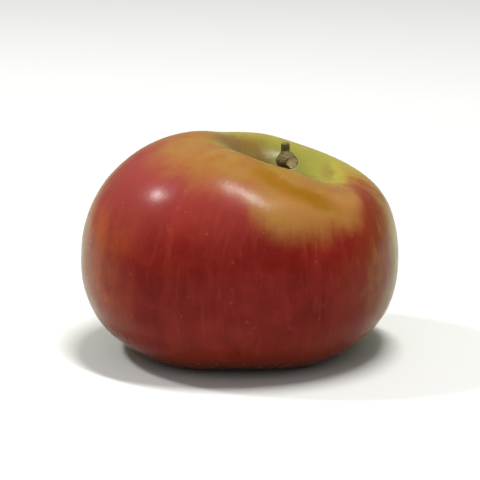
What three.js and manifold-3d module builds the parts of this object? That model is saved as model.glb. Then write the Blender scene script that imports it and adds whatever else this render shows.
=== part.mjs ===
// An apple of an old regional kind: broad, rather flat, with its top bent over to one side.
// Millimetres, +Z up. The origin is on the surface that it rests on, under the middle of the fruit,
// and its shoulders lean towards +X.
import * as THREE from 'three';
import { mergeVertices } from 'three/addons/utils/BufferGeometryUtils.js';
import Module from 'manifold-3d';

// The fruit's section while its core is still upright.
const EQUATOR_RADIUS = 34;
const EQUATOR_HEIGHT = 19.4;
const CREST_RADIUS = 12.7;
const CREST_HEIGHT = 44.3;
const CAVITY_DEPTH = 11;
const CAVITY_FLOOR_RADIUS = 2.2;
const CAVITY_SHIFT = 3; // how far the cavity's floor lies off the core, towards +X
const BASE_RING_RADIUS = 17.5;
const BASIN_DEPTH = 6.5;
const BASIN_FLOOR_RADIUS = 3.4;
const FLAT_DEPTH = 0.25; // how much of each low lobe the resting surface presses flat

// How full the section is: the lengths of its curves' handles, as shares of each stretch.
const CAVITY_THROAT = 0.45;
const CAVITY_LIP = 0.5;
const SHOULDER_TOP = 0.27;
const SHOULDER_SIDE = 0.81;
const FLANK_SIDE = 0.7;
const FLANK_BASE = 0.45;
const BASIN_LIP = 0.6;
const BASIN_THROAT = 0.5;
const THROAT_FLARE = 0.8;

// The bend of the top, about a line along Y low in the fruit.
const BEND_ANGLE = THREE.MathUtils.degToRad(11.2);
const BEND_PIVOT_HEIGHT = 14;
const BEND_FALLOFF = 1.17;

// Five soft lobes, one for each cell of the core, and a slight oval.
const LOBES = 5;
const LOBE_PHASE = THREE.MathUtils.degToRad(19);
const CREST_LOBE_DROP = 0.5;
const BASE_LOBE_RISE = 1.0;
const SIDE_LOBE = 0.22;
const OVAL = 0.25;
const OVAL_PHASE = THREE.MathUtils.degToRad(35);

// A broad fold that lets the near side of the rim down and fades towards the equator.
const FOLD_ANGLE = THREE.MathUtils.degToRad(-18);
const FOLD_DEPTH = 3.2;
const FOLD_SHARPNESS = 6; // a higher power makes the fold narrower

// The stalk: short and woody, swollen in its middle, with a thin end. Heights along it are shares
// of its length.
const STALK_LENGTH = 12.6;
const STALK_RADIUS = 1.3;
const STALK_TIP_RADIUS = 0.95;
const STALK_TIP_EDGE_RADIUS = 0.65;
const STALK_TIP_RISE = 0.025;
const STALK_FOOT_RADIUS = 1.9;
const STALK_FOOT_SHARE = 0.2;
const STALK_SWELLING = 0.9;
const STALK_SWELLING_SHARE = 0.72;
const STALK_SWELLING_REACH = 0.18;
const STALK_BOW = THREE.MathUtils.degToRad(13); // it leans out by this above its foot, and back at its tip
const STALK_BOW_WAVE = 1.5 * Math.PI;
const STALK_AZIMUTH = THREE.MathUtils.degToRad(-14);

// The scar on the swelling, where a second fruitlet dropped off: a flat place on a low knob.
const SCAR_SHARE = 0.75;
const SCAR_REACH = 0.15;
const SCAR_ANGLE = THREE.MathUtils.degToRad(-40);
const SCAR_KNOB = 1.3;
const SCAR_DISTANCE = 2.4; // from the stalk's centre line to the flat
const STALK_RIDGES = 3;
const STALK_RIDGE = 0.07; // as a share of the radius
const STALK_TWIST = 2; // how far the ridges turn from the foot to the scar, in radians

// The dried eye: a shallow cup with five sepals, and the tuft of old stamens between them.
const EYE_CUP_RADIUS = 3.0;
const EYE_CUP_HEIGHT = 0.9;
const SEPALS = 5;
const SEPAL_LENGTH = 5.4;
const SEPAL_WIDTH = 2.7;
const SEPAL_TIP_WIDTH = 0.5;
const SEPAL_THICKNESS = 0.7;
const SEPAL_ROOT_RADIUS = 2.3;
const SEPAL_SINK = 0.5; // how far the roots of sepals and stamens are sunk in the cup
const SEPAL_KEEL = 0.45; // how far the middle of a sepal stands out from its edges
const SEPAL_FOLD_IN = THREE.MathUtils.degToRad(24);
const SEPAL_CURL_OUT = THREE.MathUtils.degToRad(78);
const STAMENS = 7;
const STAMEN_LENGTH = 3.0;
const STAMEN_RADIUS = 0.28;
const STAMEN_RING_RADIUS = 0.95;
const STAMEN_SPLAY = THREE.MathUtils.degToRad(9);

const GAP = 0.3; // between pieces that touch

// How finely the curved surfaces are cut into flat faces.
const FRUIT_SIDES = 60;
const CAVITY_STEPS = 9;
const SHOULDER_STEPS = 13;
const FLANK_STEPS = 15;
const BASIN_STEPS = 9;
const STALK_SIDES = 14;
const STALK_STEPS = 15;
const EYE_CUP_SIDES = 20;
const SEPAL_STEPS = 8;
const STAMEN_SIDES = 6;

const smooth = (t) => t * t * (3 - 2 * t);

// One stretch of the section: its points after the first, with t from 0 to 1 along it.
function stretch(start, startHandle, endHandle, end, steps) {
  const curve = new THREE.CubicBezierCurve(
    new THREE.Vector2(...start),
    new THREE.Vector2(...startHandle),
    new THREE.Vector2(...endHandle),
    new THREE.Vector2(...end),
  );
  return curve.getPoints(steps).slice(1).map((point, i) => ({ point, t: (i + 1) / steps }));
}

// The section as rows from the cavity's floor to the basin's floor. Each row carries how far it
// follows the bend, and how strongly the lobes show in it at the crest, the side and the base.
function sectionRows() {
  const cavityFloor = CREST_HEIGHT - CAVITY_DEPTH;
  const ringHeight = -FLAT_DEPTH;
  const cavitySpan = CREST_RADIUS - CAVITY_FLOOR_RADIUS;
  const shoulderSpan = EQUATOR_RADIUS - CREST_RADIUS;
  const flankSpan = EQUATOR_RADIUS - BASE_RING_RADIUS;
  const basinSpan = BASE_RING_RADIUS - BASIN_FLOOR_RADIUS;

  const cavity = stretch(
    [CAVITY_FLOOR_RADIUS, cavityFloor],
    [CAVITY_FLOOR_RADIUS + THROAT_FLARE, cavityFloor + CAVITY_THROAT * CAVITY_DEPTH],
    [CREST_RADIUS - CAVITY_LIP * cavitySpan, CREST_HEIGHT],
    [CREST_RADIUS, CREST_HEIGHT],
    CAVITY_STEPS,
  );
  const shoulder = stretch(
    [CREST_RADIUS, CREST_HEIGHT],
    [CREST_RADIUS + SHOULDER_TOP * shoulderSpan, CREST_HEIGHT],
    [EQUATOR_RADIUS, EQUATOR_HEIGHT + SHOULDER_SIDE * (CREST_HEIGHT - EQUATOR_HEIGHT)],
    [EQUATOR_RADIUS, EQUATOR_HEIGHT],
    SHOULDER_STEPS,
  );
  const flank = stretch(
    [EQUATOR_RADIUS, EQUATOR_HEIGHT],
    [EQUATOR_RADIUS, EQUATOR_HEIGHT * (1 - FLANK_SIDE)],
    [BASE_RING_RADIUS + FLANK_BASE * flankSpan, ringHeight],
    [BASE_RING_RADIUS, ringHeight],
    FLANK_STEPS,
  );
  const basin = stretch(
    [BASE_RING_RADIUS, ringHeight],
    [BASE_RING_RADIUS - BASIN_LIP * basinSpan, ringHeight],
    [BASIN_FLOOR_RADIUS + THROAT_FLARE, BASIN_THROAT * BASIN_DEPTH],
    [BASIN_FLOOR_RADIUS, BASIN_DEPTH],
    BASIN_STEPS,
  );

  const row = (radius, height, bend, crest, side, base) => ({ radius, height, bend, crest, side, base });
  return [
    row(0, cavityFloor, 1, 0, 0, 0),
    row(CAVITY_FLOOR_RADIUS, cavityFloor, 1, 0, 0, 0),
    ...cavity.map(({ point, t }) => row(point.x, point.y, 1, smooth(t), 0, 0)),
    ...shoulder.map(({ point, t }) => {
      const bend = Math.pow(smooth(1 - t), BEND_FALLOFF);
      return row(point.x, point.y, bend, bend, smooth(t), 0);
    }),
    ...flank.map(({ point, t }) => row(point.x, point.y, 0, 0, smooth(1 - t), smooth(t))),
    ...basin.map(({ point, t }) => row(point.x, point.y, 0, 0, 0, smooth(1 - t))),
    row(0, BASIN_DEPTH, 0, 0, 0, 0),
  ];
}

// Turns a point of the upright fruit with the bend of its top.
function bent(point, share) {
  const angle = BEND_ANGLE * share;
  const rise = point.z - BEND_PIVOT_HEIGHT;
  return new THREE.Vector3(
    point.x * Math.cos(angle) + rise * Math.sin(angle),
    point.y,
    BEND_PIVOT_HEIGHT + rise * Math.cos(angle) - point.x * Math.sin(angle),
  );
}

// The skin at a row of the section and an angle round the core.
function skinPoint(row, angle) {
  const lobe = Math.cos(LOBES * (angle - LOBE_PHASE));
  const between = (1 - lobe) / 2;
  const oval = OVAL * Math.cos(2 * (angle - OVAL_PHASE));
  const fold = Math.pow((1 + Math.cos(angle - FOLD_ANGLE)) / 2, FOLD_SHARPNESS);
  const radius = row.radius + row.side * (SIDE_LOBE * lobe + oval);
  const crestDrop = row.crest * (CREST_LOBE_DROP * between + FOLD_DEPTH * fold);
  const height = row.height - crestDrop + row.base * BASE_LOBE_RISE * between;
  const shift = CAVITY_SHIFT * (row.bend - row.crest);
  const upright = new THREE.Vector3(radius * Math.cos(angle) + shift, radius * Math.sin(angle), height);
  const point = bent(upright, row.bend);
  point.z = Math.max(point.z, 0);
  return point;
}

// A closed body of revolution whose points a function then moves: place(row index, angle).
function shapedLathe(outline, sides, place) {
  const geometry = new THREE.LatheGeometry(outline, sides);
  const position = geometry.attributes.position;
  for (let i = 0; i < position.count; i += 1) {
    const column = Math.floor(i / outline.length) % sides;
    const point = place(i % outline.length, (column * 2 * Math.PI) / sides);
    position.setXYZ(i, point.x, point.y, point.z);
  }
  return closed(geometry);
}

// The same geometry with its shared points merged, so that it is one closed surface.
function closed(geometry) {
  geometry.deleteAttribute('normal');
  geometry.deleteAttribute('uv');
  return mergeVertices(geometry);
}

function fruitGeometry() {
  const rows = sectionRows();
  const outline = rows.map((row) => new THREE.Vector2(row.radius, row.height));
  return shapedLathe(outline, FRUIT_SIDES, (row, angle) => skinPoint(rows[row], -angle));
}

// The stalk's centre line: it leaves the cavity along the bent core, bows out and rises again.
function stalkFrame(share) {
  const centre = bent(new THREE.Vector3(CAVITY_SHIFT, 0, CREST_HEIGHT - CAVITY_DEPTH + GAP), 1);
  const aside = new THREE.Vector3(Math.cos(STALK_AZIMUTH), Math.sin(STALK_AZIMUTH), 0);
  const along = (part) => {
    const lean = BEND_ANGLE + STALK_BOW * Math.sin(STALK_BOW_WAVE * part);
    return new THREE.Vector3(0, 0, Math.cos(lean)).addScaledVector(aside, Math.sin(lean));
  };
  for (let i = 0; i < STALK_STEPS; i += 1) {
    const middle = (share * (i + 0.5)) / STALK_STEPS;
    centre.addScaledVector(along(middle), (share * STALK_LENGTH) / STALK_STEPS);
  }
  const across = new THREE.Vector3(-Math.sin(STALK_AZIMUTH), Math.cos(STALK_AZIMUTH), 0);
  return { centre, across, out: across.clone().cross(along(share)) };
}

// The stalk's radius along its length, without the scar's knob.
function stalkRadius(share) {
  const foot = Math.max(0, 1 - share / STALK_FOOT_SHARE);
  const flare = (STALK_FOOT_RADIUS - STALK_RADIUS) * smooth(foot);
  const taper = (STALK_TIP_RADIUS - STALK_RADIUS) * smooth(share);
  const swelling = Math.max(0, 1 - Math.abs(share - STALK_SWELLING_SHARE) / STALK_SWELLING_REACH);
  return STALK_RADIUS + flare + taper + STALK_SWELLING * smooth(swelling);
}

// The same with the knob, which is cut flat at the scar.
function knobbedRadius(radius, share, angle) {
  const near = Math.max(0, 1 - Math.pow((share - SCAR_SHARE) / SCAR_REACH, 2));
  const facing = Math.max(0, Math.cos(angle - SCAR_ANGLE));
  const full = radius + SCAR_KNOB * near * facing * facing;
  return full * facing > SCAR_DISTANCE ? SCAR_DISTANCE / facing : full;
}

// Rows up the stalk, from the middle of its foot to the middle of its rounded end.
function stalkGeometry() {
  const rows = [{ radius: 0, share: 0 }];
  for (let i = 0; i <= STALK_STEPS; i += 1) {
    rows.push({ radius: stalkRadius(i / STALK_STEPS), share: i / STALK_STEPS });
  }
  rows.push({ radius: STALK_TIP_EDGE_RADIUS, share: 1 + STALK_TIP_RISE });
  rows.push({ radius: 0, share: 1 + STALK_TIP_RISE });
  const outline = rows.map((row) => new THREE.Vector2(row.radius, row.share * STALK_LENGTH));
  return shapedLathe(outline, STALK_SIDES, (index, angle) => {
    const { radius, share } = rows[index];
    const { centre, across, out } = stalkFrame(share);
    const ridged = radius * (1 + STALK_RIDGE * Math.cos(STALK_RIDGES * angle + STALK_TWIST * share));
    const reach = radius > 0 ? knobbedRadius(ridged, share, angle) : 0;
    return centre
      .addScaledVector(out, reach * Math.cos(angle))
      .addScaledVector(across, reach * Math.sin(angle));
  });
}

// One dried sepal, root at the origin and hanging down. It narrows to a point, leans in over the
// middle of the eye and curls out at its tip.
function sepalGeometry() {
  const geometry = new THREE.BoxGeometry(SEPAL_THICKNESS, SEPAL_WIDTH, SEPAL_LENGTH, 1, 2, SEPAL_STEPS);
  const position = geometry.attributes.position;
  const spine = [new THREE.Vector2(0, 0)];
  const turnAt = (share) => -SEPAL_FOLD_IN + (SEPAL_FOLD_IN + SEPAL_CURL_OUT) * share * share;
  for (let i = 0; i < SEPAL_STEPS; i += 1) {
    const turn = turnAt((i + 0.5) / SEPAL_STEPS);
    const down = new THREE.Vector2(Math.sin(turn), -Math.cos(turn));
    spine.push(spine[i].clone().addScaledVector(down, SEPAL_LENGTH / SEPAL_STEPS));
  }
  for (let i = 0; i < position.count; i += 1) {
    const step = Math.round((0.5 - position.getZ(i) / SEPAL_LENGTH) * SEPAL_STEPS);
    const share = step / SEPAL_STEPS;
    const turn = turnAt(share);
    const width = SEPAL_WIDTH + (SEPAL_TIP_WIDTH - SEPAL_WIDTH) * share;
    const side = (position.getY(i) / SEPAL_WIDTH) * width;
    const keel = SEPAL_KEEL * (1 - Math.abs(side) / (width / 2)) * (1 - share);
    const off = position.getX(i) + keel;
    const x = spine[step].x + off * Math.cos(turn);
    const z = spine[step].y + off * Math.sin(turn);
    position.setXYZ(i, x, side, z);
  }
  return closed(geometry);
}

// The eye: cup, sepals and stamens grown together in one piece.
async function eyeGeometry() {
  const wasm = await Module();
  wasm.setup();
  const solid = (geometry) => new wasm.Manifold(new wasm.Mesh({
    numProp: 3,
    vertProperties: new Float32Array(geometry.attributes.position.array),
    triVerts: new Uint32Array(geometry.index.array),
  }));
  const top = BASIN_DEPTH - GAP;
  const cup = new THREE.CylinderGeometry(EYE_CUP_RADIUS, SEPAL_ROOT_RADIUS, EYE_CUP_HEIGHT, EYE_CUP_SIDES);
  cup.rotateX(Math.PI / 2);
  cup.translate(0, 0, top - EYE_CUP_HEIGHT / 2);
  let eye = solid(closed(cup));
  for (let i = 0; i < SEPALS; i += 1) {
    const sepal = sepalGeometry();
    sepal.translate(SEPAL_ROOT_RADIUS - SEPAL_THICKNESS / 2, 0, top - SEPAL_SINK);
    sepal.rotateZ(((i + 0.5) * 2 * Math.PI) / SEPALS + LOBE_PHASE);
    eye = eye.add(solid(sepal));
  }
  for (let i = 0; i < STAMENS; i += 1) {
    const stamen = new THREE.CylinderGeometry(STAMEN_RADIUS, STAMEN_RADIUS, STAMEN_LENGTH, STAMEN_SIDES);
    stamen.rotateX(Math.PI / 2);
    stamen.translate(0, 0, -STAMEN_LENGTH / 2);
    stamen.rotateY(-STAMEN_SPLAY);
    stamen.translate(STAMEN_RING_RADIUS, 0, top - SEPAL_SINK);
    stamen.rotateZ((i * 2 * Math.PI) / STAMENS);
    eye = eye.add(solid(closed(stamen)));
  }
  const mesh = eye.getMesh();
  const geometry = new THREE.BufferGeometry();
  geometry.setAttribute('position', new THREE.BufferAttribute(new Float32Array(mesh.vertProperties), 3));
  geometry.setIndex(new THREE.BufferAttribute(new Uint32Array(mesh.triVerts), 1));
  return geometry;
}

function piece(name, geometry, material) {
  const mesh = new THREE.Mesh(geometry, new THREE.MeshStandardMaterial({ metalness: 0, ...material }));
  mesh.name = name;
  return mesh;
}

const fruit = piece('fruit', fruitGeometry(), { color: 0x93352d, roughness: 0.4 });
const stalk = piece('stalk', stalkGeometry(), { color: 0x5a4324, roughness: 0.85 });
const eye = piece('eye', await eyeGeometry(), { color: 0x4c3a26, roughness: 0.95 });

// The whole apple is set so that the origin is under the middle of the fruit.
const middle = new THREE.Box3().setFromObject(fruit).getCenter(new THREE.Vector3());
const apple = new THREE.Group();
apple.add(fruit, stalk, eye);
apple.position.set(-middle.x, -middle.y, 0);

export default apple;
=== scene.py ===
"""A broad, flattish old apple, bent over to one side, with its stalk and its dried eye.

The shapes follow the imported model's own dimensions, drawn much finer, and each surface is a
procedural material. Lengths in the shape functions are millimetres; meshes are written in metres.
"""
import random
from math import cos, pi, radians, sin

import bmesh
import bpy
import numpy as np
from mathutils import Matrix, Vector, noise


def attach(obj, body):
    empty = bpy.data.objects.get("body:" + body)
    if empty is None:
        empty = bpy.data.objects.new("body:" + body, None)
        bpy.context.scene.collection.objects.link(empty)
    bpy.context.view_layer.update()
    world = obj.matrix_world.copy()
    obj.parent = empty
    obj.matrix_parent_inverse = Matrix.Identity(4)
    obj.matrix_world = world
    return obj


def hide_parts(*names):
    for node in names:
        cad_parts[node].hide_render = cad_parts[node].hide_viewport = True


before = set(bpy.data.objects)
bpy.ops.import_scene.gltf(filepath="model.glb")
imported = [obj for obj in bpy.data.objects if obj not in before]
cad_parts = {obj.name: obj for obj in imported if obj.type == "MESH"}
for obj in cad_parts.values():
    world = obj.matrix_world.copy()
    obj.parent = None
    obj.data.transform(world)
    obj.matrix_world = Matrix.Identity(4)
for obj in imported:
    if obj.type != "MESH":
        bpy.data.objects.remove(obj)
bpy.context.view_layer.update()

MM = 0.001

# The fruit's section while its core is still upright, in millimetres.
EQUATOR_RADIUS = 34.0
EQUATOR_HEIGHT = 19.4
CREST_RADIUS = 12.7
CREST_HEIGHT = 44.3
CAVITY_DEPTH = 11
CAVITY_FLOOR_RADIUS = 2.2
CAVITY_SHIFT = 3
BASE_RING_RADIUS = 17.5
BASIN_DEPTH = 6.5
BASIN_FLOOR_RADIUS = 3.4
FLAT_DEPTH = 0.25

# How full the section is: the lengths of its curves' handles, as shares of each stretch.
CAVITY_THROAT = 0.45
CAVITY_LIP = 0.5
SHOULDER_TOP = 0.27
SHOULDER_SIDE = 0.81
FLANK_SIDE = 0.7
FLANK_BASE = 0.45
BASIN_LIP = 0.6
BASIN_THROAT = 0.5
THROAT_FLARE = 0.8

# The bend of the top, the five lobes and the slight oval.
BEND_ANGLE = radians(11.2)
BEND_PIVOT_HEIGHT = 14
BEND_FALLOFF = 1.17
LOBES = 5
LOBE_PHASE = radians(19)
CREST_LOBE_DROP = 0.5
BASE_LOBE_RISE = 1.0
SIDE_LOBE = 0.22
OVAL = 0.25
OVAL_PHASE = radians(35)
FOLD_ANGLE = radians(-18)
FOLD_DEPTH = 3.2
FOLD_SHARPNESS = 6

# Stalk. A share is a share of its length, from 0 at the foot to 1 at the tip.
STALK_LENGTH = 12.6
STALK_RADIUS = 1.3
STALK_FOOT_RADIUS = 1.9
STALK_FOOT_SHARE = 0.2
STALK_FOOT_SPREAD = 0.25
STALK_FOOT_SINK = 0.06
STALK_SWELLING = 0.9
STALK_SWELLING_SHARE = 0.72
STALK_SWELLING_REACH = 0.18
STALK_BOW = radians(13)
STALK_BOW_WAVE = 1.5 * pi
STALK_BOW_PIECES = 15
STALK_AZIMUTH = radians(-14)
STALK_RIDGES = 3
STALK_RIDGE = 0.07
STALK_TWIST = 2

# The stalk's tip: its rise is a share of the length, and its rounding has radii at shares of the rise.
STALK_TIP_RADIUS = 0.95
STALK_TIP_RISE = 0.025
STALK_TIP_ROUND = ((0.86, 0.5), (0.65, 1), (0.35, 0.8), (0.0, 0.7))

# The scar on a knob of the stalk's swelling, dished behind a low raised edge.
SCAR_SHARE = 0.75
SCAR_REACH = 0.15
SCAR_ANGLE = radians(-40)
SCAR_KNOB = 1.3
SCAR_DISTANCE = 2.4
SCAR_DISH = 0.16
SCAR_DISH_EDGE = 0.1
SCAR_DISH_SHARE = 0.07

# The bark's lumps: their heights in millimetres, and how closely they follow each other. The scar's
# outline wavers too.
BARK_LUMP = 0.11
BARK_LUMP_ROUND = 1.4
BARK_LUMP_ALONG = 0.5
BARK_KNURL = 0.05
BARK_KNURL_FINENESS = 3.1
SCAR_WAVER = 0.012
SCAR_WAVER_FINENESS = 1.9
SCAR_WAVER_TURN = 9

# Eye: a cup, with the radii of its lower lip and their heights over its lowest edge.
EYE_CUP_RADIUS = 3.0
EYE_CUP_HEIGHT = 0.9
EYE_CUP_WALL = 0.5
EYE_CUP_SINK = 0.05
EYE_CUP_LIP = ((2.75, 0.15), (2.3, 0.0), (1.5, 0.25))
EYE_CUP_SIDES = 40
EYE_SEED = 5

SEPALS = 5
SEPAL_LENGTH = 5.4
SEPAL_WIDTH = 2.7
SEPAL_TIP_WIDTH = 0.5
SEPAL_TAPER = 0.9
SEPAL_THICKNESS = 0.5
SEPAL_THINNING = 0.28
SEPAL_END = (0.2, 0.12)
SEPAL_KEEL = 0.45
SEPAL_WAVE = 0.12
SEPAL_WAVER = 0.06
SEPAL_ROOT_RADIUS = 1.95
SEPAL_SINK = 0.5
SEPAL_FOLD_IN = radians(24)
SEPAL_CURL_OUT = radians(78)
SEPAL_STEPS = 26
SEPAL_SIDES = 20

# The stamens stand in two rings. Each has radii at shares of its length, widest at the anther.
STAMENS_IN_RING = 7
STAMEN_RING_RADII = (0.55, 0.95)
STAMEN_LENGTH = 3.0
STAMEN_SHARES = (0, 0.3, 0.6, 0.85, 0.9, 0.97, 1)
STAMEN_RADII = (0.14, 0.12, 0.1, 0.1, 0.22, 0.2, 0.06)
STAMEN_SIDES = 8

DOWN_HAIRS = 220
DOWN_RING_RADIUS = 2.9
DOWN_RING_WIDTH = 0.9
DOWN_ROOT_RISE = 0.35
DOWN_SHARES = (0, 0.5, 1)
DOWN_RADII = (0.045, 0.035, 0.01)
DOWN_SIDES = 4

# The clearance between pieces, in millimetres.
GAP = 0.3

# How finely the surfaces are drawn.
FRUIT_SIDES = 300
CAVITY_STEPS = 56
SHOULDER_STEPS = 80
FLANK_STEPS = 84
BASIN_STEPS = 44
STALK_SIDES = 64
STALK_STEPS = 110

# The skin's unevenness: each wave's height in millimetres and waves per millimetre. It is level
# where the fruit rests, up to RELIEF_FULL_HEIGHT.
RELIEF_WAVES = ((0.16, 0.06), (0.05, 0.2))
RELIEF_SEED = Vector((3.7, 11.2, 5.4))
RELIEF_FULL_HEIGHT = 3.0


def smooth(t):
    """0 to 1 with level ends."""
    return t * t * (3 - 2 * t)


def bezier(start, start_handle, end_handle, end, steps):
    """A cubic curve's points after its first, each with its share of the way."""
    points = []
    for i in range(1, steps + 1):
        t = i / steps
        weights = ((1 - t) ** 3, 3 * t * (1 - t) ** 2, 3 * t * t * (1 - t), t**3)
        corners = (start, start_handle, end_handle, end)
        x = sum(w * p[0] for w, p in zip(weights, corners))
        y = sum(w * p[1] for w, p in zip(weights, corners))
        points.append((x, y, t))
    return points


def section_rows():
    """The section from the cavity's floor to the basin's floor: one array each of radius, height,
    share of the bend, and how strongly the lobes show at the crest, the side and the base."""
    cavity_floor = CREST_HEIGHT - CAVITY_DEPTH
    ring = -FLAT_DEPTH
    rows = [(0, cavity_floor, 1, 0, 0, 0), (CAVITY_FLOOR_RADIUS, cavity_floor, 1, 0, 0, 0)]
    for r, z, t in bezier(
        (CAVITY_FLOOR_RADIUS, cavity_floor),
        (CAVITY_FLOOR_RADIUS + THROAT_FLARE, cavity_floor + CAVITY_THROAT * CAVITY_DEPTH),
        (CREST_RADIUS - CAVITY_LIP * (CREST_RADIUS - CAVITY_FLOOR_RADIUS), CREST_HEIGHT),
        (CREST_RADIUS, CREST_HEIGHT),
        CAVITY_STEPS,
    ):
        rows.append((r, z, 1, smooth(t), 0, 0))
    for r, z, t in bezier(
        (CREST_RADIUS, CREST_HEIGHT),
        (CREST_RADIUS + SHOULDER_TOP * (EQUATOR_RADIUS - CREST_RADIUS), CREST_HEIGHT),
        (EQUATOR_RADIUS, EQUATOR_HEIGHT + SHOULDER_SIDE * (CREST_HEIGHT - EQUATOR_HEIGHT)),
        (EQUATOR_RADIUS, EQUATOR_HEIGHT),
        SHOULDER_STEPS,
    ):
        bend = smooth(1 - t) ** BEND_FALLOFF
        rows.append((r, z, bend, bend, smooth(t), 0))
    for r, z, t in bezier(
        (EQUATOR_RADIUS, EQUATOR_HEIGHT),
        (EQUATOR_RADIUS, EQUATOR_HEIGHT * (1 - FLANK_SIDE)),
        (BASE_RING_RADIUS + FLANK_BASE * (EQUATOR_RADIUS - BASE_RING_RADIUS), ring),
        (BASE_RING_RADIUS, ring),
        FLANK_STEPS,
    ):
        rows.append((r, z, 0, 0, smooth(1 - t), smooth(t)))
    for r, z, t in bezier(
        (BASE_RING_RADIUS, ring),
        (BASE_RING_RADIUS - BASIN_LIP * (BASE_RING_RADIUS - BASIN_FLOOR_RADIUS), ring),
        (BASIN_FLOOR_RADIUS + THROAT_FLARE, BASIN_THROAT * BASIN_DEPTH),
        (BASIN_FLOOR_RADIUS, BASIN_DEPTH),
        BASIN_STEPS,
    ):
        rows.append((r, z, 0, 0, 0, smooth(1 - t)))
    rows.append((0, BASIN_DEPTH, 0, 0, 0, 0))
    return np.array(rows, float)


def bent(x, y, z, share):
    """Points of the upright fruit turned with the bend of its top."""
    angle = BEND_ANGLE * share
    rise = z - BEND_PIVOT_HEIGHT
    across = x * np.cos(angle) + rise * np.sin(angle)
    up = BEND_PIVOT_HEIGHT + rise * np.cos(angle) - x * np.sin(angle)
    return across, y, up


def skin_points():
    """The skin as a grid [row, column, xyz] with each point's growth: (cos, sin, way along)."""
    rows = section_rows()
    radius, height, bend, crest, side, base = (rows[:, i][:, None] for i in range(rows.shape[1]))
    angle = np.linspace(0, 2 * pi, FRUIT_SIDES, endpoint=False)[None, :]
    lobe = np.cos(LOBES * (angle - LOBE_PHASE))
    between = (1 - lobe) / 2
    oval = OVAL * np.cos(2 * (angle - OVAL_PHASE))
    fold = ((1 + np.cos(angle - FOLD_ANGLE)) / 2) ** FOLD_SHARPNESS
    radius = radius + side * (SIDE_LOBE * lobe + oval)
    crest_drop = crest * (CREST_LOBE_DROP * between + FOLD_DEPTH * fold)
    height = height - crest_drop + base * BASE_LOBE_RISE * between
    shift = CAVITY_SHIFT * (bend - crest)
    x, y, z = bent(radius * np.cos(angle) + shift, radius * np.sin(angle), height, bend)
    grid = np.stack([x, y, np.maximum(z, 0)], axis=-1)
    steps = np.hypot(np.diff(rows[:, 0]), np.diff(rows[:, 1]))
    along = np.concatenate([[0], np.cumsum(steps)]) / steps.sum()
    full = np.ones_like(x)
    grown = np.stack([np.cos(angle) * full, np.sin(angle) * full, along[:, None] * full], axis=-1)
    return grid, grown


SKIN, SKIN_GROWN = skin_points()
MIDDLE_X = (SKIN[..., 0].min() + SKIN[..., 0].max()) / 2
MIDDLE_Y = (SKIN[..., 1].min() + SKIN[..., 1].max()) / 2
SHIFT = np.array([MIDDLE_X, MIDDLE_Y, 0.0])


def lathe_faces(row_count, sides, start=0):
    """Faces between rows of points, of which the first and the last row are one point each."""

    def at(row, column):
        return start + 1 + (row - 1) * sides + column % sides

    first = start
    last_ring = row_count - 2
    last = start + 1 + last_ring * sides
    faces = []
    for column in range(sides):
        faces.append((first, at(1, column), at(1, column + 1)))
        faces.append((last, at(last_ring, column + 1), at(last_ring, column)))
    for row in range(1, last_ring):
        for column in range(sides):
            corners = ((row, column), (row + 1, column), (row + 1, column + 1), (row, column + 1))
            faces.append(tuple(at(*corner) for corner in corners))
    return faces


def flat_rows(grid):
    """The grid's points in one list, with the first and last rows as one point each."""
    return np.concatenate([grid[0, :1], grid[1:-1].reshape(-1, 3), grid[-1, :1]])


def make_mesh(name, points_mm, faces, grown):
    """A piece at the origin, with smooth shading; grown is kept on its points for the material."""
    mesh = bpy.data.meshes.new(name)
    mesh.from_pydata(((points_mm - SHIFT) * MM).tolist(), [], faces)
    mesh.validate()
    attribute = mesh.attributes.new("grown", "FLOAT_VECTOR", "POINT")
    attribute.data.foreach_set("vector", grown.astype(np.float32).ravel())
    mesh.shade_smooth()
    mesh.update()
    piece = bpy.data.objects.new(name, mesh)
    bpy.context.scene.collection.objects.link(piece)
    return piece


def rgb(red, green, blue):
    """A colour given as 0 to 255 display values, for a shader's socket."""
    linear = []
    for value in (red, green, blue):
        share = value / 255
        linear.append(share / 12.92 if share <= 0.04045 else ((share + 0.055) / 1.055) ** 2.4)
    return (*linear, 1.0)


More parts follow.
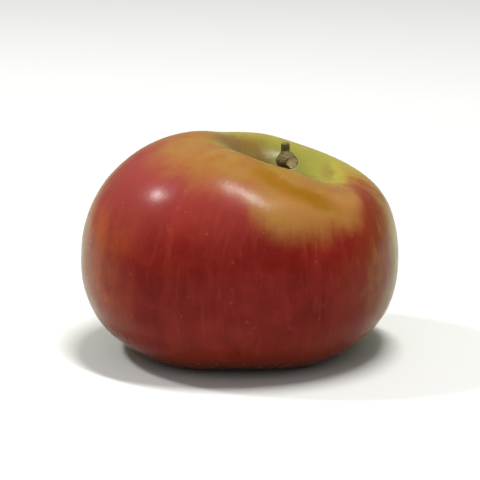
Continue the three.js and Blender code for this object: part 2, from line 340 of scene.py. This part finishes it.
class Paint:
    """A node material under construction. Most methods add nodes and return an output."""

    def __init__(self, name):
        self.material = bpy.data.materials.new(name)
        self.material.use_nodes = True
        self.tree = self.material.node_tree
        self.tree.nodes.clear()
        self.shader = self.tree.nodes.new("ShaderNodeBsdfPrincipled")
        output = self.tree.nodes.new("ShaderNodeOutputMaterial")
        self.tree.links.new(self.shader.outputs[0], output.inputs["Surface"])

    def put(self, socket, value):
        """Links an output to a socket, or sets the socket to a plain value."""
        if isinstance(value, bpy.types.NodeSocket):
            self.tree.links.new(value, socket)
        else:
            socket.default_value = value

    def node(self, kind, *values, **settings):
        node = self.tree.nodes.new(kind)
        for key, value in settings.items():
            setattr(node, key, value)
        for socket, value in zip(node.inputs, values):
            if value is not None:
                self.put(socket, value)
        return node

    def math(self, operation, *values):
        return self.node("ShaderNodeMath", *values, operation=operation).outputs[0]

    def add(self, first, *others):
        for other in others:
            first = self.math("ADD", first, other)
        return first

    def times(self, first, *others):
        for other in others:
            first = self.math("MULTIPLY", first, other)
        return first

    def less(self, a, b):
        return self.math("SUBTRACT", a, b)

    def attribute(self, name):
        return self.node("ShaderNodeAttribute", attribute_name=name).outputs["Vector"]

    def split(self, vector):
        return self.node("ShaderNodeSeparateXYZ", vector).outputs

    def join(self, x, y, z):
        return self.node("ShaderNodeCombineXYZ", x, y, z).outputs[0]

    def millimetres(self):
        """The point on the piece, in millimetres."""
        point = self.node("ShaderNodeTexCoord").outputs["Object"]
        return self.node("ShaderNodeVectorMath", point, (1 / MM,) * 3, operation="MULTIPLY").outputs[0]

    def noise(self, vector, scale, detail=2.0, roughness=0.5):
        """Smooth noise round 0, mostly between -1 and 1."""
        node = self.node("ShaderNodeTexNoise")
        self.put(node.inputs["Vector"], vector)
        node.inputs["Scale"].default_value = scale
        node.inputs["Detail"].default_value = detail
        node.inputs["Roughness"].default_value = roughness
        return self.times(self.less(node.outputs["Fac"], 0.5), 4.0)

    def cells(self, vector, scale):
        """Distance to the nearest of a scatter of points."""
        node = self.node("ShaderNodeTexVoronoi")
        self.put(node.inputs["Vector"], vector)
        node.inputs["Scale"].default_value = scale
        return node.outputs["Distance"]

    def fade(self, value, low, high, to_low=0.0, to_high=1.0):
        """A smooth change from to_low to to_high as value goes from low to high."""
        node = self.node("ShaderNodeMapRange", value, interpolation_type="SMOOTHSTEP")
        for name, number in zip(("From Min", "From Max", "To Min", "To Max"), (low, high, to_low, to_high)):
            self.put(node.inputs[name], number)
        return node.outputs["Result"]

    def mix(self, share, a, b):
        """Colour a where share is 0, b where it is 1."""
        node = self.node("ShaderNodeMix", data_type="RGBA", clamp_factor=True)
        self.put(node.inputs[0], share)
        self.put(node.inputs[6], a)
        self.put(node.inputs[7], b)
        return node.outputs[2]

    def bump(self, height, strength, distance_mm):
        node = self.node("ShaderNodeBump")
        self.put(node.inputs["Height"], height)
        node.inputs["Strength"].default_value = strength
        node.inputs["Distance"].default_value = distance_mm * MM
        self.put(self.shader.inputs["Normal"], node.outputs["Normal"])

    def set(self, **values):
        for name, value in values.items():
            self.put(self.shader.inputs[name.replace("_", " ")], value)


# Sides of the skin, as angles round the core from +X.
FLUSH_CENTRE = radians(-95)
TONGUE_CENTRE = radians(-57)
# The left side, which carries the painted light and the painted pink sheen on the flush, and the ruddy
# patches.
LIT_PINK_SIDE = radians(-165)
GREEN_SIDE = radians(20)
BROWN_SIDE = radians(-5)
BAND_SIDE = radians(-74)
BAND_RISE_SIDE = radians(15)
RIM_RUSSET_SIDE = radians(140)
RIM_TINT_SIDE = radians(-45)
LIP_SIDE = radians(-18)

# Places along the section, as ways from 0 at the cavity's floor to 1 at the basin's.
FLUSH_TOP = 0.255
TONGUE_LENGTH = 0.117
BAND_WAY = 0.268
BAND_RISE = 0.155
LIP_WAY = 0.19

# How closely the pale dots and the brown specks are strewn, in points per millimetre, and how fine
# the streaks are round the fruit and along them.
DOT_SCATTER = 0.36
SPECK_SCATTER = 0.085
BROAD_STREAKS = (4.0, 3.0)
MIDDLING_STREAKS = (14.0, 9.0)
FINE_STREAKS = (46.0, 16.0)
STREAK_WANDER = 0.4

GROUND_YELLOW = rgb(146, 134, 52)
GROUND_GREEN = rgb(126, 128, 46)
GROUND_PATCH = rgb(172, 150, 72)
CAVITY_GREEN = rgb(95, 95, 40)

WARM_OCHRE = rgb(133, 94, 46)
WARM_ORANGE = rgb(130, 77, 31)
WARM_STREAK = rgb(150, 70, 30)
WARM_MUSTARD = rgb(132, 104, 24)
WARM_FLANK = rgb(118, 58, 12)
WARM_RIM = rgb(130, 98, 28)
TONGUE_OCHRE = rgb(154, 104, 52)

FLUSH_RED = rgb(128, 35, 27)
FLUSH_DEEP = rgb(104, 17, 12)
FLUSH_DARK_LINE = rgb(84, 12, 8)
FLUSH_LIGHT_STREAK = rgb(150, 58, 38)
FLUSH_LIGHT_LINE = rgb(156, 70, 44)
FLUSH_GRAIN = rgb(156, 66, 48)
# Painted light: a paler red on the flush's shoulder, where the top is lit.
FLUSH_SHOULDER_LIT = rgb(136, 58, 50)
FLUSH_EDGE = rgb(118, 42, 4)
# Painted sheen: a pinker red on the left side of the flush, in its upper half.
FLUSH_PINK_SHEEN = rgb(124, 47, 43)
# Painted shade: a darker brown on the flush low down, away from the light above.
FLUSH_LOW_SHADE = rgb(92, 42, 16)
FLUSH_BROWN = rgb(108, 54, 20)
FLUSH_RUDDY = rgb(158, 80, 32)

# A mustard band, partly painted shade where the shoulder folds.
BAND_MUSTARD_AND_FOLD_SHADE = rgb(122, 80, 0)
RIM_RUSSET = rgb(104, 72, 32)
LIP_RUSSET = rgb(112, 82, 38)
DOT_TAN = rgb(164, 104, 66)
CAVITY_RUSSET = rgb(92, 70, 28)
BASIN_RUSSET = rgb(98, 74, 38)
SPECK_BROWN = rgb(80, 52, 30)


class SkinPaint(Paint):
    """The skin's material, with the fields that its colours share."""

    def __init__(self):
        super().__init__("apple_skin")
        self.round_x, self.round_y, self.way = self.split(self.attribute("grown"))
        self.point = self.millimetres()
        self.clouds = self.noise(self.point, 0.05, 2.0)
        self.mottle = self.noise(self.point, 0.22, 4.0, 0.6)
        self.patches = self.noise(self.point, 0.13, 3.0, 0.6)
        self.grain = self.noise(self.point, 1.3, 3.0, 0.6)
        self.broad = self.streaks(*BROAD_STREAKS)
        self.middling = self.streaks(*MIDDLING_STREAKS)
        self.fine = self.streaks(*FINE_STREAKS)
        self.uneven_way = self.add(self.way, self.times(self.mottle, 0.02))
        streaked = self.add(self.times(self.broad, 0.08), self.times(self.middling, 0.08))
        self.ragged = self.add(streaked, self.times(self.fine, 0.06), self.times(self.mottle, 0.09))
        self.side = self.flush_side()

    def streaks(self, fineness, along):
        """Streaks that run from the stalk to the eye; a higher fineness makes them narrower."""
        wander = self.times(self.add(self.clouds, self.patches), STREAK_WANDER)
        x = self.add(self.times(self.round_x, fineness), wander)
        y = self.times(self.round_y, fineness)
        return self.noise(self.join(x, y, self.times(self.way, along)), 1.0, 3.0)

    def facing(self, angle):
        """1 on the side at that angle round the core, -1 on the side away from it."""
        return self.add(self.times(self.round_x, cos(angle)), self.times(self.round_y, sin(angle)))

    def beside(self, place, centre):
        """How far a place is from a centre, to either side of it."""
        return self.math("ABSOLUTE", self.less(place, centre))

    def flush_side(self):
        """High on the flushed side, with ragged edges, and less towards the eye."""
        side = self.add(self.facing(FLUSH_CENTRE), self.times(self.clouds, 0.06), self.ragged)
        side = self.less(side, self.fade(self.way, 0.28, 0.55, -0.3, 0.2))
        return self.less(side, self.fade(self.way, 0.68, 0.92, 0, 0.4))

    def warm_area(self):
        """The flushed side and its edges, outside a line that lies farther out on the green side."""
        edge = self.fade(self.facing(GREEN_SIDE), 0.3, 0.9, 0.13, 0.2)
        outside = self.fade(self.uneven_way, edge, self.add(edge, 0.06))
        return self.times(self.fade(self.side, -0.3, 0.25), outside)

    def red_area(self):
        """The flushed side below the flush's top, which the tongue pushes down."""
        tongue = self.fade(self.facing(TONGUE_CENTRE), 0.76, 0.98, 0, TONGUE_LENGTH)
        tilt = self.times(self.facing(FLUSH_CENTRE), 0.045)
        below = self.less(self.way, self.add(tongue, tilt, FLUSH_TOP))
        below = self.add(below, self.times(self.ragged, 0.08))
        return self.times(self.fade(self.side, 0.08, 0.44), self.fade(below, -0.05, 0.04))

    def tongue_area(self):
        side = self.fade(self.facing(TONGUE_CENTRE), 0.8, 0.97)
        return self.times(side, self.fade(self.way, 0.27, 0.33, 0, 0.6))

    def rim_tint_area(self):
        """The near rim of the cavity."""
        side = self.fade(self.facing(RIM_TINT_SIDE), 0.45, 0.85, 0, 0.8)
        return self.times(side, self.fade(self.way, 0.28, 0.2))

    # Painted light: where the flush's shoulder is made paler, on all but the right side.
    def lit_shoulder_area(self):
        side = self.fade(self.facing(LIT_PINK_SIDE), -0.5, 0.3)
        return self.times(side, self.fade(self.way, 0.44, 0.3, 0, 0.6))

    # Painted sheen: where the flush is made pinker on the left, in its upper half.
    def pink_sheen_area(self):
        side = self.fade(self.facing(LIT_PINK_SIDE), 0.55, 0.97, 0, 0.65)
        return self.times(side, self.fade(self.way, 0.5, 0.4))

    def ruddy_area(self):
        """Patches on the pink side, from the shoulder down to the middle."""
        uneven = self.add(self.patches, self.times(self.middling, 0.4))
        side = self.fade(self.facing(LIT_PINK_SIDE), 0.78, 0.97)
        level = self.times(self.fade(self.way, 0.36, 0.44), self.fade(self.way, 0.66, 0.54))
        return self.times(self.fade(uneven, -1.0, 0.8, 0, 0.7), side, level)

    def band_and_fold_shade_area(self):
        """A ragged mustard band across the shoulder in front of the stalk, partly painted shade where the
        shoulder folds.
        """
        centre = self.add(self.times(self.facing(BAND_RISE_SIDE), BAND_RISE), BAND_WAY)
        uneven = self.times(self.add(self.mottle, self.patches), 0.016)
        width = self.fade(self.beside(self.add(self.way, uneven), centre), 0.045, 0.005)
        side = self.fade(self.facing(BAND_SIDE), 0.84, 0.97)
        return self.times(width, side, self.fade(self.patches, -1.1, 0.3, 0.5, 0.95))

    def rim_area(self):
        """The cavity's rim on the side where the fruit is highest."""
        side = self.fade(self.facing(RIM_RUSSET_SIDE), 0.55, 0.9)
        inside = self.fade(self.uneven_way, 0.2, 0.15)
        return self.times(side, inside, self.fade(self.patches, -0.9, 0.6, 0.45, 0.85))

    def lip_area(self):
        """A thin broken line along the lip where the fold is."""
        width = self.fade(self.beside(self.uneven_way, LIP_WAY), 0.02, 0.002)
        side = self.fade(self.facing(LIP_SIDE), 0.7, 0.95)
        return self.times(width, side, self.fade(self.patches, -0.8, 0.8, 0.15, 0.7))

    def speck_area(self):
        """A few brown specks, only away from the flush."""
        shape = self.add(self.cells(self.point, SPECK_SCATTER), self.times(self.mottle, 0.02))
        away = self.fade(self.facing(FLUSH_CENTRE), 0.1, -0.5)
        return self.times(self.fade(shape, 0.085, 0.05), away, 0.85)

    def cavity_russet_area(self):
        """The cavity's floor, in rays."""
        rays = self.add(self.way, self.times(self.middling, 0.028), self.times(self.mottle, 0.012))
        return self.fade(rays, 0.12, 0.03, 0, 0.75)

    def basin_russet_area(self):
        uneven = self.add(self.way, self.times(self.mottle, 0.008))
        return self.fade(uneven, 0.925, 0.985, 0, 0.6)

    def ground_colour(self):
        """Yellow-green in clouds, darker in the cavity."""
        colour = self.mix(self.fade(self.clouds, -0.8, 0.9), GROUND_YELLOW, GROUND_GREEN)
        colour = self.mix(self.fade(self.mottle, -0.2, 1.2, 0, 0.4), colour, GROUND_PATCH)
        return self.mix(self.fade(self.way, 0.25, 0.1, 0, 0.75), colour, CAVITY_GREEN)

    def warm_colour(self):
        """Ochre and orange, browner down the flank, where it shows between the red streaks."""
        colour = self.mix(self.fade(self.mottle, -1.0, 1.0), WARM_OCHRE, WARM_ORANGE)
        lines = self.add(self.fine, self.middling)
        colour = self.mix(self.fade(lines, 0.2, 1.8, 0, 0.3), colour, WARM_STREAK)
        colour = self.mix(self.fade(self.patches, 0.1, 0.9, 0, 0.5), colour, WARM_MUSTARD)
        colour = self.mix(self.fade(self.way, 0.38, 0.52, 0, 0.9), colour, WARM_FLANK)
        colour = self.mix(self.rim_tint_area(), colour, WARM_RIM)
        return self.mix(self.tongue_area(), colour, TONGUE_OCHRE)

    def flush_colour(self):
        """Red in darker and lighter streaks and browner at its edges, paler on the shoulder as painted
        light, pinker on the left as a painted sheen, and darker brown low down as painted shade.
        """
        clouded = self.add(self.times(self.broad, 0.5), self.times(self.clouds, 0.5))
        clouded = self.add(clouded, self.times(self.mottle, 0.8))
        dark_lines = self.add(self.fine, self.times(self.grain, 0.4))
        colour = self.mix(self.fade(clouded, -1.2, 1.3), FLUSH_RED, FLUSH_DEEP)
        colour = self.mix(self.fade(dark_lines, 0.0, 1.5, 0, 0.5), colour, FLUSH_DARK_LINE)
        colour = self.mix(self.fade(self.middling, -0.1, -1.4, 0, 0.4), colour, FLUSH_LIGHT_STREAK)
        colour = self.mix(self.fade(self.fine, -0.3, -1.5, 0, 0.4), colour, FLUSH_LIGHT_LINE)
        colour = self.mix(self.fade(self.grain, 0.3, 1.4, 0, 0.3), colour, FLUSH_GRAIN)
        # Painted light: paler on the shoulder.
        colour = self.mix(self.lit_shoulder_area(), colour, FLUSH_SHOULDER_LIT)
        colour = self.mix(self.fade(self.side, 0.72, 0.25, 0, 0.75), colour, FLUSH_EDGE)
        # Painted sheen: pinker on the left, upper half.
        colour = self.mix(self.pink_sheen_area(), colour, FLUSH_PINK_SHEEN)
        # Painted shade: darker brown low down.
        colour = self.mix(self.fade(self.way, 0.56, 0.78, 0, 0.65), colour, FLUSH_LOW_SHADE)
        brown_side = self.fade(self.facing(BROWN_SIDE), 0.75, 1.0, 0, 0.55)
        colour = self.mix(brown_side, colour, FLUSH_BROWN)
        return self.mix(self.ruddy_area(), colour, FLUSH_RUDDY)


def skin_material():
    """Yellow-green ground under a red flush in streaks, with dots, specks and russet."""
    p = SkinPaint()
    dot = p.fade(p.cells(p.point, DOT_SCATTER), 0.15, 0.03)
    russet = p.cavity_russet_area()
    colour = p.mix(p.times(p.warm_area(), 0.94), p.ground_colour(), p.warm_colour())
    colour = p.mix(p.red_area(), colour, p.flush_colour())
    # The mustard band, partly painted shade where the shoulder folds.
    colour = p.mix(p.band_and_fold_shade_area(), colour, BAND_MUSTARD_AND_FOLD_SHADE)
    colour = p.mix(p.rim_area(), colour, RIM_RUSSET)
    colour = p.mix(p.lip_area(), colour, LIP_RUSSET)
    colour = p.mix(p.times(dot, 0.24), colour, DOT_TAN)
    colour = p.mix(russet, colour, CAVITY_RUSSET)
    colour = p.mix(p.basin_russet_area(), colour, BASIN_RUSSET)
    colour = p.mix(p.speck_area(), colour, SPECK_BROWN)
    gloss = p.add(p.fade(p.mottle, -1.2, 1.2, 0.23, 0.29), p.times(russet, 0.3))
    p.set(Base_Color=colour, Roughness=gloss, IOR=1.18)
    p.set(Subsurface_Weight=0.06, Subsurface_Radius=(1.0, 0.4, 0.2), Subsurface_Scale=0.0015)
    relief = p.add(p.times(p.grain, 0.3), p.times(dot, 0.9), p.times(p.fine, 0.15))
    p.bump(p.add(relief, p.times(russet, p.grain, 0.8)), 0.5, 0.04)
    return p.material


def make_fruit():
    """The skin, with the shallow unevenness that a grown fruit has."""
    rows, columns = SKIN.shape[:2]
    faces = lathe_faces(rows, columns)
    points = flat_rows(SKIN)
    piece = make_mesh("apple_fruit", points, faces, flat_rows(SKIN_GROWN))
    mesh = piece.data
    normals = [vertex.normal.copy() for vertex in mesh.vertices]
    moved = []
    for vertex, normal in zip(mesh.vertices, normals):
        at = vertex.co / MM
        swell = sum(height * noise.noise(at * waves + RELIEF_SEED) for height, waves in RELIEF_WAVES)
        share = min(1.0, at.z / RELIEF_FULL_HEIGHT)
        moved.extend(vertex.co + normal * (swell * share * MM))
    mesh.vertices.foreach_set("co", moved)
    mesh.update()
    mesh.materials.append(skin_material())
    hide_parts("fruit")
    return piece


def stalk_frame(share):
    """The stalk's centre, and its three directions: along, out and across."""
    x, y, z = bent(CAVITY_SHIFT, 0.0, CREST_HEIGHT - CAVITY_DEPTH + GAP, 1.0)
    centre = np.array([x, y, z], float)
    aside = np.array([cos(STALK_AZIMUTH), sin(STALK_AZIMUTH), 0.0])

    def along(part):
        lean = BEND_ANGLE + STALK_BOW * sin(STALK_BOW_WAVE * part)
        return np.array([0, 0, cos(lean)]) + aside * sin(lean)

    for i in range(STALK_BOW_PIECES):
        middle = share * (i + 0.5) / STALK_BOW_PIECES
        centre = centre + along(middle) * share * STALK_LENGTH / STALK_BOW_PIECES
    across = np.array([-sin(STALK_AZIMUTH), cos(STALK_AZIMUTH), 0.0])
    return centre, np.cross(across, along(share)), across


def stalk_radius(share):
    """The stalk's radius along its length, without the scar's knob."""
    foot = min(1.0, max(0.0, 1 - share / STALK_FOOT_SHARE))
    flare = (STALK_FOOT_RADIUS - STALK_RADIUS) * smooth(foot)
    taper = (STALK_TIP_RADIUS - STALK_RADIUS) * smooth(min(1.0, max(0.0, share)))
    swelling = max(0.0, 1 - abs(share - STALK_SWELLING_SHARE) / STALK_SWELLING_REACH)
    return STALK_RADIUS + flare + taper + STALK_SWELLING * smooth(swelling)


def knobbed_radius(radius, share, angle):
    """The same with the knob, cut at the scar, and how far within the scar the point is."""
    near = max(0.0, 1 - ((share - SCAR_SHARE) / SCAR_REACH) ** 2)
    facing = max(0.0, cos(angle - SCAR_ANGLE))
    full = radius + SCAR_KNOB * near * facing * facing
    over = full * facing / SCAR_DISTANCE - 1
    if over <= 0:
        return full, 0.0
    within = min(1.0, over / SCAR_DISH_SHARE)
    dish = SCAR_DISH * smooth(within) - SCAR_DISH_EDGE * within * (1 - within) * 4
    return (SCAR_DISTANCE - dish) / facing, within


BARK_DARK = rgb(66, 46, 16)
BARK_BROWN = rgb(104, 78, 28)
BARK_TIP_GREEN = rgb(84, 84, 38)
BARK_PATCH_GREEN = rgb(92, 88, 40)
SCAR_TAN = rgb(218, 196, 158)
SCAR_BROWN = rgb(184, 154, 108)


def stalk_material():
    """Dark fibrous bark, greener in patches and near the tip, and the scar's pale wood."""
    p = Paint("stalk_bark")
    way, scar, turn = p.split(p.attribute("grown"))
    point = p.millimetres()
    fibres = p.noise(p.join(p.times(turn, 5.0), p.times(way, 2.2), 0.0), 1.0, 4.0)
    patches = p.noise(point, 0.7, 3.0)
    bark = p.mix(p.fade(fibres, -1.0, 1.0), BARK_DARK, BARK_BROWN)
    bark = p.mix(p.fade(way, 7.0, 12.0, 0, 0.5), bark, BARK_TIP_GREEN)
    bark = p.mix(p.fade(patches, 0.1, 1.2, 0, 0.5), bark, BARK_PATCH_GREEN)
    pale_wood = p.mix(p.fade(patches, -1.0, 1.0), SCAR_TAN, SCAR_BROWN)
    colour = p.mix(p.fade(scar, 0.3, 0.8), bark, pale_wood)
    p.set(Base_Color=colour, Roughness=0.78)
    p.bump(p.add(fibres, p.times(patches, 0.6)), 0.7, 0.12)
    return p.material


def stalk_rows():
    """Radius and share of the length, from the middle of the sunk foot to the middle of the tip."""
    rows = [(0.0, -STALK_FOOT_SINK), (STALK_FOOT_RADIUS + STALK_FOOT_SPREAD, -STALK_FOOT_SINK)]
    rows += [(stalk_radius(i / STALK_STEPS), i / STALK_STEPS) for i in range(1, STALK_STEPS + 1)]
    rows += [(radius, 1 + rise * STALK_TIP_RISE) for radius, rise in STALK_TIP_ROUND]
    return rows


def bark_point(radius, share, angle):
    """The distance from the stalk's middle to its uneven bark, and how far within the scar it is."""
    if radius == 0:
        return 0.0, 0.0
    level = share * STALK_LENGTH * BARK_LUMP_ALONG
    seat = Vector((cos(angle) * BARK_LUMP_ROUND, sin(angle) * BARK_LUMP_ROUND, level))
    rough = BARK_LUMP * noise.noise(seat) + BARK_KNURL * noise.noise(seat * BARK_KNURL_FINENESS)
    ridged = radius * (1 + STALK_RIDGE * cos(STALK_RIDGES * angle + STALK_TWIST * share))
    ridged += rough * min(1.0, radius)
    waver = SCAR_WAVER * noise.noise(seat * SCAR_WAVER_FINENESS)
    return knobbed_radius(ridged, share + waver, angle + SCAR_WAVER_TURN * waver)


def make_stalk():
    """The stalk with its ridges, lumps and scar, sunk a little into the cavity's floor."""
    rows = stalk_rows()
    grid = np.zeros((len(rows), STALK_SIDES, 3))
    grown = np.zeros_like(grid)
    for i, (radius, share) in enumerate(rows):
        centre, out, across = stalk_frame(share)
        for j in range(STALK_SIDES):
            angle = 2 * pi * j / STALK_SIDES
            reach, within = bark_point(radius, share, angle)
            grid[i, j] = centre + out * reach * cos(angle) + across * reach * sin(angle)
            grown[i, j] = (share * STALK_LENGTH, within, sin(angle))
    faces = [tuple(reversed(face)) for face in lathe_faces(len(rows), STALK_SIDES)]
    piece = make_mesh("apple_stalk", flat_rows(grid), faces, flat_rows(grown))
    piece.data.materials.append(stalk_material())
    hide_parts("stalk")
    return piece


def loft(rings, kind, parts):
    """Adds a closed skin through rings of points, with a point at the middle of each end ring."""
    sides = len(rings[0])
    start = sum(len(part["points"]) for part in parts)
    ends = [np.mean(rings[0], axis=0)[None, :], np.mean(rings[-1], axis=0)[None, :]]
    points = np.concatenate([ends[0], *rings, ends[1]])
    shares = np.concatenate([[0], np.repeat(np.linspace(0, 1, len(rings)), sides), [1]])
    grown = np.stack([np.full(len(points), float(kind)), shares, np.zeros(len(points))], axis=-1)
    parts.append({"points": points, "grown": grown, "faces": lathe_faces(len(rings) + 2, sides, start)})


def turned(points, angle):
    """Points turned about the core."""
    c, s = cos(angle), sin(angle)
    return points @ np.array([[c, s, 0], [-s, c, 0], [0, 0, 1]])


def sepal_rings(chance):
    """One sepal, root at the origin and hanging down, as rings of points round its midrib."""
    length = SEPAL_LENGTH * (1 - 0.1 * chance.random())
    curl = SEPAL_CURL_OUT * (0.85 + 0.3 * chance.random())
    twist = 0.5 * (chance.random() - 0.5)
    spot = np.array([0.0, 0.0])
    rings = []
    for i in range(SEPAL_STEPS + 1):
        share = i / SEPAL_STEPS
        turn = -SEPAL_FOLD_IN + (SEPAL_FOLD_IN + curl) * share * share
        width = SEPAL_WIDTH + (SEPAL_TIP_WIDTH - SEPAL_WIDTH) * share**SEPAL_TAPER
        width *= 1 + SEPAL_WAVER * sin(9 * share + 2 * chance.random())
        thick = SEPAL_THICKNESS - SEPAL_THINNING * share
        if i == SEPAL_STEPS:
            width, thick = SEPAL_END
        ring = []
        for j in range(SEPAL_SIDES):
            angle = 2 * pi * j / SEPAL_SIDES
            across = cos(angle) * width / 2
            keel = SEPAL_KEEL * (1 - abs(cos(angle))) * (1 - share)
            wave = SEPAL_WAVE * sin(6 * share + 3 * cos(angle)) * share
            off = sin(angle) * thick / 2 + keel + wave + across * twist * share
            ring.append((spot[0] + off * cos(turn), across, spot[1] + off * sin(turn)))
        rings.append(np.array(ring))
        spot = spot + np.array([sin(turn), -cos(turn)]) * length / SEPAL_STEPS
    return rings


def tube_rings(path, radii, sides):
    """Level rings round a path that runs downwards, for the cup, the stamens and the hairs."""
    turns = 2 * pi * np.arange(sides) / sides
    circle = np.stack([np.cos(turns), np.sin(turns), np.zeros(sides)], axis=-1)
    return [np.array(spot) + circle * radius for spot, radius in zip(path, radii)]


EYE_BROWN = rgb(72, 50, 26)
EYE_TAN = rgb(112, 88, 50)
EYE_TIP = rgb(50, 34, 22)
EYE_DOWN = rgb(150, 128, 88)

# What a part of the eye is, which its points carry for the material.
LEAFY = 0
THREADY = 1


def eye_material():
    """Dry brown cup and sepals, darker to their tips, with paler stamens and down."""
    p = Paint("dried_eye")
    kind, way, _ = p.split(p.attribute("grown"))
    point = p.millimetres()
    patches = p.noise(point, 1.1, 3.0)
    colour = p.mix(p.fade(patches, -1.0, 1.0), EYE_BROWN, EYE_TAN)
    colour = p.mix(p.fade(way, 0.5, 1.0, 0, 0.5), colour, EYE_TIP)
    colour = p.mix(p.fade(kind, 0.9, 1.1, 0, 0.7), colour, EYE_DOWN)
    p.set(Base_Color=colour, Roughness=0.95, Sheen_Weight=0.1)
    p.bump(p.noise(point, 4.0, 3.0), 0.6, 0.1)
    return p.material


EYE_ROOT_HEIGHT = BASIN_DEPTH - GAP - SEPAL_SINK


def add_cup(parts):
    top = BASIN_DEPTH + EYE_CUP_SINK
    low = BASIN_DEPTH - GAP - EYE_CUP_HEIGHT
    cup = [(EYE_CUP_RADIUS, top), (EYE_CUP_RADIUS, top - EYE_CUP_WALL)]
    cup += [(radius, low + rise) for radius, rise in EYE_CUP_LIP]
    path = [(0, 0, height) for _, height in cup]
    loft(tube_rings(path, [radius for radius, _ in cup], EYE_CUP_SIDES), LEAFY, parts)


def add_sepals(parts, chance):
    root = np.array([SEPAL_ROOT_RADIUS, 0.0, EYE_ROOT_HEIGHT])
    for i in range(SEPALS):
        around = (i + 0.5) * 2 * pi / SEPALS + LOBE_PHASE
        loft([turned(ring + root, around) for ring in sepal_rings(chance)], LEAFY, parts)


def add_stamens(parts, chance):
    for i in range(STAMENS_IN_RING * 2):
        around = i * pi / STAMENS_IN_RING + 0.2 * chance.random()
        foot = STAMEN_RING_RADII[i % 2]
        length = STAMEN_LENGTH * (0.7 + 0.35 * chance.random())
        lean = 0.16 + 0.2 * chance.random()
        path = [(foot + lean * length * t * t, 0, EYE_ROOT_HEIGHT - length * t) for t in STAMEN_SHARES]
        rings = tube_rings(path, STAMEN_RADII, STAMEN_SIDES)
        loft([turned(ring, around) for ring in rings], THREADY, parts)


def add_down(parts, chance):
    root_height = EYE_ROOT_HEIGHT + DOWN_ROOT_RISE
    for i in range(DOWN_HAIRS):
        around = 2 * pi * chance.random()
        foot = DOWN_RING_RADIUS + DOWN_RING_WIDTH * chance.random()
        length = 0.5 + 0.6 * chance.random()
        lean = -0.5 + 0.8 * chance.random()
        path = [(foot + lean * length * t, 0, root_height - length * t) for t in DOWN_SHARES]
        rings = tube_rings(path, DOWN_RADII, DOWN_SIDES)
        loft([turned(ring, around) for ring in rings], THREADY, parts)


def make_eye():
    """The cup, the five sepals, the old stamens and the down round them, in one mesh."""
    chance = random.Random(EYE_SEED)
    parts = []
    add_cup(parts)
    add_sepals(parts, chance)
    add_stamens(parts, chance)
    add_down(parts, chance)
    points = np.concatenate([part["points"] for part in parts])
    grown = np.concatenate([part["grown"] for part in parts])
    faces = [face for part in parts for face in part["faces"]]
    piece = make_mesh("apple_eye", points, faces, grown)
    shape = bmesh.new()
    shape.from_mesh(piece.data)
    bmesh.ops.recalc_face_normals(shape, faces=shape.faces)
    shape.to_mesh(piece.data)
    shape.free()
    piece.data.materials.append(eye_material())
    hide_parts("eye")
    return piece


fruit = make_fruit()
stalk = make_stalk()
eye = make_eye()
for piece, slot_name in ((fruit, "apple_skin"), (stalk, "stalk_wood"), (eye, "dried_eye")):
    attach(piece, "root")

# The camera looks along +Y from a little above, as in the photograph, and closer. In metres.
VIEW_ELEVATION = radians(14)
VIEW_DISTANCE = 0.6
FRAME_WIDTH = 0.103
SENSOR_WIDTH_MM = 36
LOOK_AT = Vector((0, 0, 0.0235))
camera = bpy.data.objects.new("camera", bpy.data.cameras.new("camera"))
bpy.context.scene.collection.objects.link(camera)
camera.data.sensor_width = SENSOR_WIDTH_MM
camera.data.lens = SENSOR_WIDTH_MM * VIEW_DISTANCE / FRAME_WIDTH
back = Vector((0, -cos(VIEW_ELEVATION), sin(VIEW_ELEVATION)))
camera.location = LOOK_AT + back * VIEW_DISTANCE
camera.rotation_euler = back.to_track_quat("Z", "Y").to_euler()
bpy.context.scene.camera = camera

# The studio: lamps, a sun as wide as a sky, and a floor. Lengths are metres.
SKY_STRENGTH = 0.38
SKY_ANGLE = radians(120)
WORLD_WHITE = rgb(240, 240, 238)
WORLD_STRENGTH = 0.32
FLOOR_RADIUS = 4
FLOOR_SIDES = 128
FLOOR_GREY = rgb(197, 197, 194)


def soft_light(name, direction, distance, size, power, length=(1, 0, 0)):
    """An oblong lamp in that direction from the fruit, shining on it, its first size along length."""
    lamp = bpy.data.lights.new(name, "AREA")
    lamp.shape = "RECTANGLE"
    lamp.size, lamp.size_y = size
    lamp.energy = power
    holder = bpy.data.objects.new(name, lamp)
    bpy.context.scene.collection.objects.link(holder)
    towards = Vector(direction).normalized()
    across = towards.cross(Vector(length)).normalized()
    holder.location = LOOK_AT + towards * distance
    holder.rotation_euler = Matrix((across.cross(towards), across, towards)).transposed().to_euler()


soft_light("lamp_left", (-0.64, 0.18, 0.75), distance=0.7, size=(0.08, 0.08), power=3.0)
top_length = (0.66, -0.75, 0)
soft_light("lamp_top", (0.12, -0.02, 0.99), distance=0.8, size=(0.38, 0.06), power=8.6, length=top_length)
soft_light("lamp_front", (-0.1, -0.85, 0.6), distance=1.0, size=(0.9, 0.9), power=1.5)

sky = bpy.data.objects.new("sky", bpy.data.lights.new("sky", "SUN"))
sky.data.energy = SKY_STRENGTH
sky.data.angle = SKY_ANGLE
bpy.context.scene.collection.objects.link(sky)

world = bpy.data.worlds.new("studio")
world.use_nodes = True
background = world.node_tree.nodes["Background"]
background.inputs["Color"].default_value = WORLD_WHITE
background.inputs["Strength"].default_value = WORLD_STRENGTH
bpy.context.scene.world = world
bpy.context.scene.view_settings.view_transform = "Standard"

bpy.ops.mesh.primitive_circle_add(vertices=FLOOR_SIDES, radius=FLOOR_RADIUS, fill_type="NGON")
floor = bpy.context.object
floor.name = "floor"
pale = Paint("pale_floor")
pale.set(Base_Color=FLOOR_GREY, Roughness=0.9)
floor.data.materials.append(pale.material)
